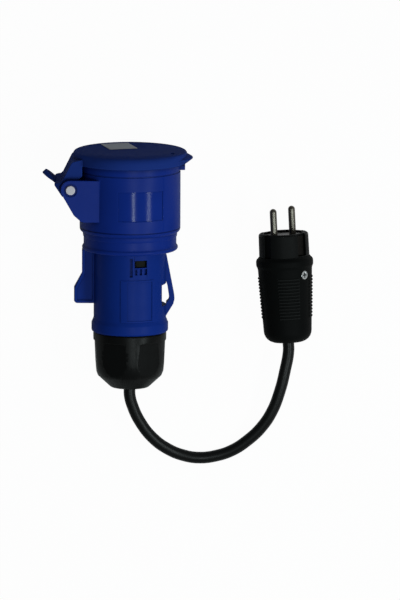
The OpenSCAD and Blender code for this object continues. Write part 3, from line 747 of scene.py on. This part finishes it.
@dataclass(frozen=True)
class SoftRim:
    """A wider rounding on the front of a round lid's top edge; it fades out towards the sides."""

    part: Upright
    radius: float
    height: float
    drawn: float = 2.0
    wider: float = 4.6
    full_deg: float = 42.0
    none_deg: float = 58.0

    def share(self, x: float, y: float) -> float:
        """Say how much of the wider rounding a place gets.

        Args:
            x: distance across, towards the lip, in millimetres.
            y: distance across, towards the back, in millimetres.

        Returns:
            1 at the front, 0 at the sides and the back.
        """
        aside = math.degrees(math.atan2(abs(x), -y))
        ramp = (self.none_deg - aside) / (self.none_deg - self.full_deg)
        ramp = min(1.0, max(0.0, ramp))
        return ramp * ramp * (3.0 - 2.0 * ramp)

    def press(self, bm: bmesh.types.BMesh) -> None:
        """Move the vertices of the drawn rounding onto the wider one.

        Args:
            bm: the mesh, in the frame.
        """
        for vert in bm.verts:
            x, y, z = self.part.local(vert.co)
            reach = math.hypot(x, y)
            out = reach - self.radius + self.drawn
            rise = z - self.height + self.drawn
            if min(out, rise) < -ON_RING or abs(math.hypot(out, rise) - self.drawn) > ON_ARC:
                continue
            share = self.share(x, y)
            scale = share * (self.wider / self.drawn - 1.0)
            pull = share * (self.wider - self.drawn)
            wide = (reach + out * scale - pull) / reach
            vert.co = self.part.point(x * wide, y * wide, z + rise * scale - pull)


@dataclass
class Softened:
    """A rigid piece: a copy of its CAD node with small moulded radii on its edges."""

    node: str
    finish: Finish
    slot: str
    radius: float
    body: Body = Body.CONNECTOR
    segments: int = 3
    crease_deg: float = 32.0
    rounder: Zone | None = None
    rounder_radius: float = 0.0
    patch: Zone | None = None
    groove: Groove | None = None
    soft_rim: SoftRim | None = None

    def build(self) -> bpy.types.Object:
        """Copy the node's mesh, round its outer edges, shade it and make it a piece.

        Returns:
            The piece that stands for the node.
        """
        bm = self.merged_copy()
        for layer in (EDGE, PATCH):
            bm.faces.layers.float.new(layer)
        if self.rounder:
            holds = self.rounder.holds
            bold = [edge for edge in self.outer(bm) if all(holds(vert.co) for vert in edge.verts)]
            self.round_off(bm, bold, self.rounder_radius, sheen_and_wear_mark=False)
        if self.radius > 0:
            self.round_off(bm, self.outer(bm), self.radius)
        if self.groove:
            self.groove.cut(bm)
        if self.soft_rim:
            self.soft_rim.press(bm)
        self.smooth(bm)
        return self.finished(bm)

    def merged_copy(self) -> bmesh.types.BMesh:
        """Copy the node's mesh, merge its vertices and join its flat facets.

        Returns:
            The copy.
        """
        bm = bmesh.new()
        bm.from_mesh(frame["nodes"][self.node].data)
        bmesh.ops.remove_doubles(bm, verts=bm.verts, dist=MERGE * MM)
        bmesh.ops.dissolve_limit(
            bm,
            angle_limit=math.radians(FLAT_DEG),
            use_dissolve_boundaries=False,
            verts=bm.verts,
            edges=bm.edges,
        )
        return bm

    def outer(self, bm: bmesh.types.BMesh) -> list[bmesh.types.BMEdge]:
        """Find the sharp outer edges.

        Args:
            bm: the mesh.

        Returns:
            Its convex edges that turn by more than the crease.
        """
        crease = math.radians(self.crease_deg)
        return [edge for edge in bm.edges if edge.is_convex and edge.calc_face_angle(0.0) > crease]

    def round_off(
        self,
        bm: bmesh.types.BMesh,
        edges: list[bmesh.types.BMEdge],
        radius: float,
        sheen_and_wear_mark: bool = True,
    ) -> None:
        """Round edges.

        Args:
            bm: the mesh.
            edges: the edges to round.
            radius: width of the rounding beside each edge, in millimetres.
            sheen_and_wear_mark: whether the new faces are marked, to be painted lighter for wear and as
                painted highlight.
        """
        made = bmesh.ops.bevel(
            bm,
            geom=edges,
            offset=radius * MM,
            offset_type="OFFSET",
            segments=self.segments,
            profile=0.5,
            affect="EDGES",
            clamp_overlap=False,
            material=-1,
            loop_slide=True,
        )
        layer = bm.faces.layers.float[EDGE]
        for face in made["faces"]:
            face[layer] = float(sheen_and_wear_mark)

    def smooth(self, bm: bmesh.types.BMesh) -> None:
        """Shade the mesh smooth between its creases and mark its patch.

        Args:
            bm: the mesh.
        """
        layer = bm.faces.layers.float[PATCH]
        for face in bm.faces:
            face.smooth = True
            in_patch = self.patch is not None and self.patch.holds(face.calc_center_median())
            face[layer] = float(in_patch)
        crease = math.radians(self.crease_deg)
        for edge in bm.edges:
            edge.smooth = edge.calc_face_angle(0.0) < crease

    def finished(self, bm: bmesh.types.BMesh) -> bpy.types.Object:
        """Turn the mesh into a piece that rides on its body and stands for its node.

        Args:
            bm: the mesh, in the frame; it is freed.

        Returns:
            The piece.
        """
        name = f"{self.node}_shell"
        mesh = bpy.data.meshes.new(name)
        bm.to_mesh(mesh)
        bm.free()
        mesh.materials.append(self.finish.material())
        piece = bpy.data.objects.new(name, mesh)
        bpy.context.scene.collection.objects.link(piece)
        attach(piece, self.body.value)
        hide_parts(self.node)
        normals = piece.modifiers.new("flat faces stay flat", "WEIGHTED_NORMAL")
        normals.keep_sharp = True
        log.info("%s: %d faces", name, len(mesh.polygons))
        return piece


@dataclass
class Camera:
    """Camera at the photograph's angle: almost straight down on the lying part, from far away."""

    image: tuple[int, int] = (400, 600)
    pixels_per_metre: float = 1426.6
    origin_pixel: tuple[float, float] = (117.6, 263.4)
    tilt_deg: float = 3.8
    roll_deg: float = -0.179
    distance_m: float = 10.0
    nearest_m: float = 0.1
    sensor: float = 36.0

    def build(self) -> bpy.types.Object:
        """Place the camera so that the frame's origin falls on its pixel.

        Returns:
            The camera.
        """
        tilt, roll = math.radians(self.tilt_deg), math.radians(self.roll_deg)
        back = Vector((0, math.sin(tilt), math.cos(tilt)))
        level_up = Vector((0, math.cos(tilt), -math.sin(tilt)))
        level_right = Vector((1, 0, 0))
        right = level_right * math.cos(roll) - level_up * math.sin(roll)
        up = level_right * math.sin(roll) + level_up * math.cos(roll)
        across = (self.image[0] / 2 - self.origin_pixel[0]) / self.pixels_per_metre
        rise = (self.origin_pixel[1] - self.image[1] / 2) / self.pixels_per_metre
        data = bpy.data.cameras.new("camera")
        data.sensor_width = self.sensor
        data.lens = self.pixels_per_metre * self.distance_m * self.sensor / max(self.image)
        data.clip_start, data.clip_end = self.nearest_m, 2 * self.distance_m
        camera = bpy.data.objects.new("camera", data)
        bpy.context.scene.collection.objects.link(camera)
        place = right * across + up * rise + back * self.distance_m
        turn = Matrix((right, up, back)).transposed().to_4x4()
        camera.matrix_world = Matrix.Translation(place) @ turn
        bpy.context.scene.camera = camera
        return camera


@dataclass(frozen=True)
class Lamp:
    """A soft rectangular lamp with a slightly cold light, aimed at the part."""

    name: str
    at_m: Triple
    size_m: tuple[float, float]
    watts: float
    aim_m: Triple = (0.06, -0.02, 0.03)
    tint: str = "#f1ffff"

    def build(self) -> None:
        """Hang the lamp."""
        data = bpy.data.lights.new(self.name, "AREA")
        data.shape = "RECTANGLE"
        data.size, data.size_y = self.size_m
        data.energy = self.watts
        data.color = linear(self.tint)[:3]
        lamp = bpy.data.objects.new(self.name, data)
        lamp.location = self.at_m
        aim = Vector(self.aim_m) - lamp.location
        lamp.rotation_euler = aim.to_track_quat("-Z", "Y").to_euler()
        lamp.visible_camera = False
        bpy.context.scene.collection.objects.link(lamp)


@dataclass
class Studio:
    """Plain pale floor, a soft sky, a narrow lamp beside the camera and a larger one on the right."""

    floor_m: float = 60.0
    floor_colour: str = "#c8c8c8"
    white_share: float = 0.97
    mirrored_left: float = 0.04
    mirrored_right: float = 0.95
    mirrored_ramp_m: tuple[float, float] = (0.06, 0.2)
    sky_left: float = 0.16
    sky_right: float = 0.44
    lamps: tuple[Lamp, ...] = (
        Lamp("front_strip", at_m=(0.18, -0.27, 1.1), size_m=(0.08, 0.4), watts=4.0),
        Lamp("side_softbox", at_m=(0.75, -0.25, 0.8), size_m=(0.6, 0.16), watts=5.6),
    )

    def build(self) -> None:
        """Make the floor, the sky and the lamps."""
        self.floor()
        self.sky()
        for lamp in self.lamps:
            lamp.build()
        bpy.context.scene.view_settings.view_transform = "Standard"

    def floor(self) -> None:
        """Lay the floor under the part."""
        bm = bmesh.new()
        bmesh.ops.create_grid(bm, x_segments=1, y_segments=1, size=self.floor_m / 2)
        mesh = bpy.data.meshes.new("floor")
        bm.to_mesh(mesh)
        bm.free()
        mesh.materials.append(self.floor_material())
        piece = bpy.data.objects.new("floor", mesh)
        bpy.context.scene.collection.objects.link(piece)

    def floor_material(self) -> bpy.types.Material:
        """Make a floor that looks white, keeps the part's shadow and mirrors brighter on the right.

        Returns:
            The material.
        """
        made = bpy.data.materials.new("pale_floor")
        made.use_nodes = True
        tree = made.node_tree
        tree.nodes.clear()
        matt = add_node(tree, "ShaderNodeBsdfDiffuse", {"Color": linear(self.floor_colour)})
        white = add_node(tree, "ShaderNodeEmission", {"Strength": 1.0})
        ray = add_node(tree, "ShaderNodeLightPath")
        through = add_node(
            tree,
            "ShaderNodeMath",
            {0: ray.outputs["Is Glossy Ray"], 1: ray.outputs["Is Transmission Ray"]},
            operation="ADD",
            use_clamp=True,
        )
        place = add_node(tree, "ShaderNodeTexCoord").outputs["Object"]
        across = add_node(tree, "ShaderNodeSeparateXYZ", {"Vector": place}).outputs["X"]
        lit = spread(tree, across, self.mirrored_left, self.mirrored_right, self.mirrored_ramp_m)
        mirrored = multiply(tree, through.outputs[0], lit)
        share = add_node(
            tree,
            "ShaderNodeMath",
            {0: ray.outputs["Is Camera Ray"], 1: self.white_share, 2: mirrored},
            operation="MULTIPLY_ADD",
        )
        surfaces = {0: share.outputs[0], 1: matt.outputs[0], 2: white.outputs[0]}
        mix = add_node(tree, "ShaderNodeMixShader", surfaces)
        add_node(tree, "ShaderNodeOutputMaterial", {"Surface": mix.outputs[0]})
        return made

    def sky(self) -> None:
        """Light the part softly, less from the left; the camera sees the sky as white."""
        world = bpy.data.worlds.new("soft_sky")
        bpy.context.scene.world = world
        world.use_nodes = True
        tree = world.node_tree
        tree.nodes.clear()
        ray = add_node(tree, "ShaderNodeLightPath")
        heading = add_node(tree, "ShaderNodeTexCoord").outputs["Generated"]
        across = add_node(tree, "ShaderNodeSeparateXYZ", {"Vector": heading}).outputs["X"]
        soft = spread(tree, across, self.sky_left, self.sky_right, (-1.0, 1.0))
        level = spread(tree, ray.outputs["Is Camera Ray"], soft, 1.0)
        light = add_node(tree, "ShaderNodeBackground", {"Strength": level})
        add_node(tree, "ShaderNodeOutputWorld", {"Surface": light.outputs[0]})


@dataclass
class Cord:
    """Round black lead from the gland nut to the plug, lying on the surface in one loose bow."""

    diameter: float = 8.2
    in_nut: float = 28.0
    in_plug: float = 22.0
    stub: float = 6.0
    length_m: float = 0.246
    round_steps: int = 6
    knot_steps: int = 10
    route: list[Triple] = field(
        default_factory=lambda: [
            (11, -99, 20.6),
            (16.5, -110.5, 17.2),
            (25, -121.5, 13.4),
            (35.5, -129.5, 9.6),
            (46.5, -134.2, 6.4),
            (57.5, -136, 4.5),
            (69.5, -134.6, 4.3),
            (80.5, -130.8, 5.2),
            (91.9, -123.2, 7),
            (101.3, -114, 9),
            (108.4, -103.1, 11.2),
            (113.9, -88.6, 13.6),
            (117.5, -74, 15.4),
        ]
    )

    def build(
        self, connector: Upright, plug: Upright, on_it: list[bpy.types.Object]
    ) -> bpy.types.Object:
        """Args:
            connector: frame of the connector.
            plug: frame of the plug.
            on_it: the pieces at its far end; not used.

        Returns:
            The cord.
        """
        start = [connector.point(0, 0, z) for z in (self.in_nut, 0, -self.stub)]
        end = [plug.point(0, 0, z) for z in (-self.stub, 0, self.in_plug)]
        points = start + [Vector(place) * MM for place in self.route] + end
        data = bpy.data.curves.new("cord_sheath", "CURVE")
        data.dimensions = "3D"
        data.bevel_depth = self.diameter / 2 * MM
        data.bevel_resolution = self.round_steps
        data.resolution_u = self.knot_steps
        data.use_fill_caps = True
        spline = data.splines.new("BEZIER")
        spline.bezier_points.add(len(points) - 1)
        for knot, place in zip(spline.bezier_points, points):
            knot.co = place
            knot.handle_left_type = knot.handle_right_type = "AUTO"
        data.materials.append(SHEATH_RUBBER.material())
        cord = bpy.data.objects.new("cord_sheath", data)
        bpy.context.scene.collection.objects.link(cord)
        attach(cord, Body.CONNECTOR.value)
        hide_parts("cord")
        log.info("cord_sheath: %d knots", len(points))
        return cord


@dataclass
class Connector:
    """The blue round connector with its lid and black gland nut."""

    housing_radius: float = 0.4
    lid_radius: float = 0.5
    handle_radius: float = 0.4
    lug_radius: float = 0.85
    panel_low: Triple = (-8.6, -35.2, 121.9)
    panel_high: Triple = (23.4, -20.0, 143.5)
    lug_low: Triple = (-40.0, -5.0, 58.0)
    lug_high: Triple = (-26.2, 5.0, 97.4)
    groove_height: float = 113.2
    groove_radii: tuple[float, float] = (34.0, 36.0)
    lid_rim_radius: float = 39.8
    lid_rim_height: float = 167.1
    plain: tuple[Softened, ...] = (
        Softened("gland_nut", BLACK_POLYAMIDE, "black_plastic", radius=0.6),
        Softened("hinge_pin", PALE_CAP, "pale_pin", radius=0.4),
        Softened("lid_label", LABEL_FILM, "grey_label", radius=0.1, body=Body.LID),
        Softened("lid_gasket", SEAL_RUBBER, "black_rubber", radius=0.3, body=Body.LID),
        Softened("lock_tab", OLIVE_PLASTIC, "dark_plastic", radius=0.15),
        Softened("contact_carrier", BLUE_INSULATOR, "blue_carrier", radius=0.35),
        Softened("line_contact", BRASS, "brass", radius=0.15),
        Softened("neutral_contact", BRASS, "brass", radius=0.15),
        Softened("earth_contact", BRASS, "brass", radius=0.15),
        Softened("lid_spring", SPRING_STEEL, "spring_steel", radius=0, crease_deg=60),
    )
    dressed: tuple[tuple[str, Finish], ...] = (
        ("contact_screws", ZINC_STEEL),
        ("housing_seal", SEAL_RUBBER),
        ("gland_seal", SEAL_RUBBER),
        ("cord_claw", NATURAL_NYLON),
        ("line_core", BROWN_CORE),
        ("neutral_core", BLUE_CORE),
        ("earth_core", EARTH_CORE),
    )

    def build(self, place: Upright) -> None:
        """Build the mouldings and dress the pieces that stay as they are.

        Args:
            place: frame of the connector.
        """
        Softened(
            "front_housing",
            BLUE_POLYAMIDE_SATIN,
            "blue_shell",
            self.housing_radius,
            patch=Zone(place, self.panel_low, self.panel_high),
            groove=Groove(place, self.groove_height, *self.groove_radii),
        ).build()
        Softened(
            "lid",
            BLUE_POLYAMIDE_MATT_PAINTED_LIGHT,
            "blue_shell",
            self.lid_radius,
            Body.LID,
            soft_rim=SoftRim(place, self.lid_rim_radius, self.lid_rim_height),
        ).build()
        Softened(
            "handle",
            BLUE_POLYAMIDE,
            "blue_shell",
            self.handle_radius,
            rounder=Zone(place, self.lug_low, self.lug_high),
            rounder_radius=self.lug_radius,
        ).build()
        for moulding in self.plain:
            moulding.build()
        for node, finish in self.dressed:
            dress(node, finish)


@dataclass
class Plug:
    """The black rubber plug with two pins."""

    body_radius: float = 0.3
    insert_radius: float = 0.35
    strap_radius: float = 0.12
    screw_radius: float = 0.2
    face_low: Triple = (-18.0, -18.0, 75.6)
    face_high: Triple = (18.0, 18.0, 76.2)
    slot_low: Triple = (-2.0, -18.4, 46.0)
    slot_high: Triple = (2.0, -17.2, 50.0)
    dressed: tuple[tuple[str, Finish], ...] = (
        ("plug_terminal_screws", ZINC_STEEL),
        ("plug_cord_clamp", NATURAL_NYLON),
        ("plug_clamp_screws", ZINC_STEEL),
        ("plug_line_core", BROWN_CORE),
        ("plug_neutral_core", BLUE_CORE),
        ("plug_earth_core", EARTH_CORE),
    )

    def build(self, place: Upright) -> list[bpy.types.Object]:
        """Build the mouldings and the metal, and dress the pieces that stay as they are.

        Args:
            place: frame of the plug.

        Returns:
            The plug's pieces.
        """
        face = Zone(place, self.face_low, self.face_high)
        # The screw's cross recess is painted dark: painted shade
        slot = Zone(place, self.slot_low, self.slot_high)
        made = (
            Softened("plug_body", BLACK_RUBBER, "plug_rubber", self.body_radius),
            Softened("plug_insert", BLACK_INSERT, "black_plastic", self.insert_radius, patch=face),
            Softened("plug_pin_line", NICKEL, "nickel", radius=0),
            Softened("plug_pin_neutral", NICKEL, "nickel", radius=0),
            Softened("earth_strap", SHADED_EARTH_SPRING, "nickel", self.strap_radius),
            Softened("plug_screw", ZINC_STEEL, "steel", self.screw_radius, patch=slot),
        )
        pieces = [piece.build() for piece in made]
        for node, finish in self.dressed:
            dress(node, finish)
            pieces.append(frame["nodes"][node])
        return pieces


def main() -> None:
    """Build the scene: camera, plug and cord, connector, studio."""
    logging.basicConfig(level=logging.INFO, format="%(message)s")
    connector, plug = connector_frame(), plug_frame()
    Camera().build()
    pieces = Plug().build(plug)
    Cord().build(connector, plug, pieces)
    Connector().build(connector)
    Studio().build()


if __name__ == "__main__":
    main()
